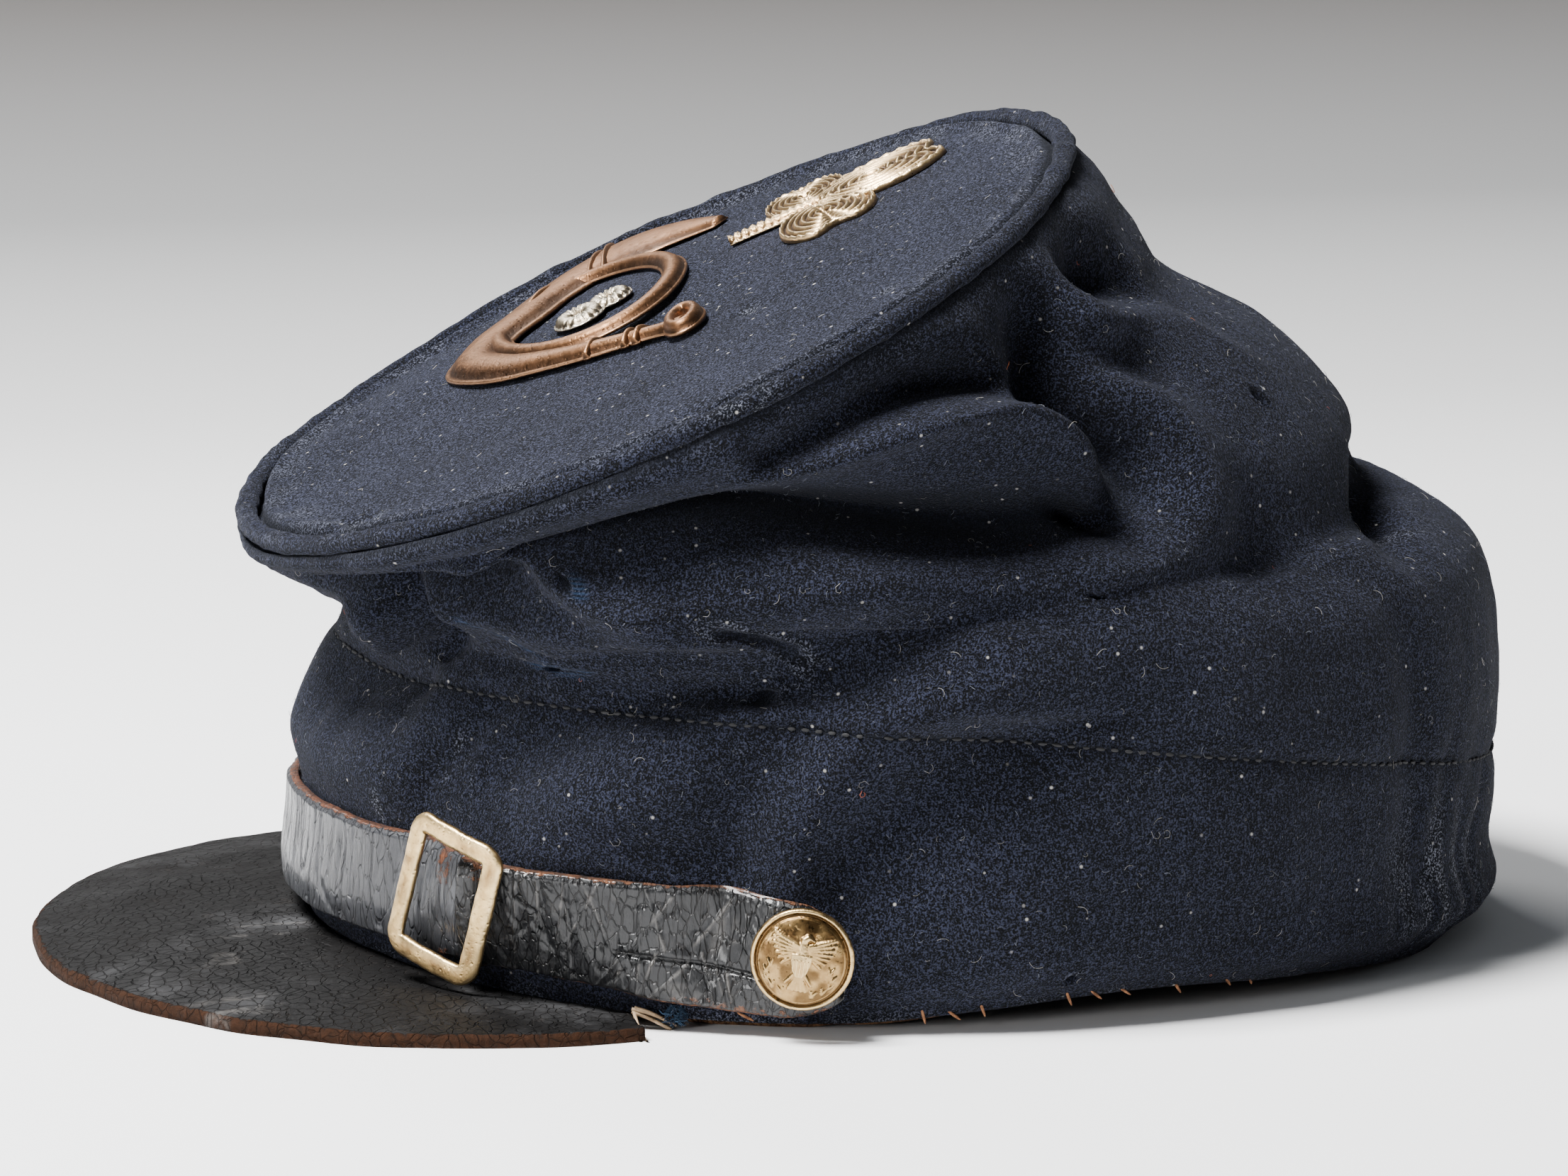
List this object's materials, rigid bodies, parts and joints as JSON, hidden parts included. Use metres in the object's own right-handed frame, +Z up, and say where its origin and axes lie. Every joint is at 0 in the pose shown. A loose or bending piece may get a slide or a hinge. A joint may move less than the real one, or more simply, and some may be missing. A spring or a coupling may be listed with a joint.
{
  "type": "kepi cap",
  "caption": "Slouched wool forage cap with a flat leather peak, buckled chin strap, side buttons and stamped badges on its leaning round top.",
  "frame": {"origin": "middle of the underside of the whole cap's box, on the surface the cap rests on", "axes": "-Y the way the peak points, +X the wearer's left, +Z up"},
  "size_m": [0.1574, 0.2204, 0.1218],
  "materials": {
    "wool": "matt fulled wool, worn",
    "peak_leather": "black enamelled leather, crazed",
    "strap_leather": "black leather, cracked to brown",
    "lining_leather": "plain brown leather",
    "pale_brass": "worn, dull",
    "brown_brass": "tarnished brown",
    "white_metal": "dull silvered"
  },
  "bodies": {
    "root": {"band": "wool", "crown_side": "wool", "crown_disc": "wool", "crown_piping": "wool", "sweatband": "lining_leather", "visor": "peak_leather", "strap_front": "strap_leather", "strap_side": "strap_leather", "strap_slide": "pale_brass", "button_left": "pale_brass", "button_right": "pale_brass", "horn_badge": "brown_brass", "number_badge": "white_metal", "clover_badge": "pale_brass"}
  },
  "joints": []
}
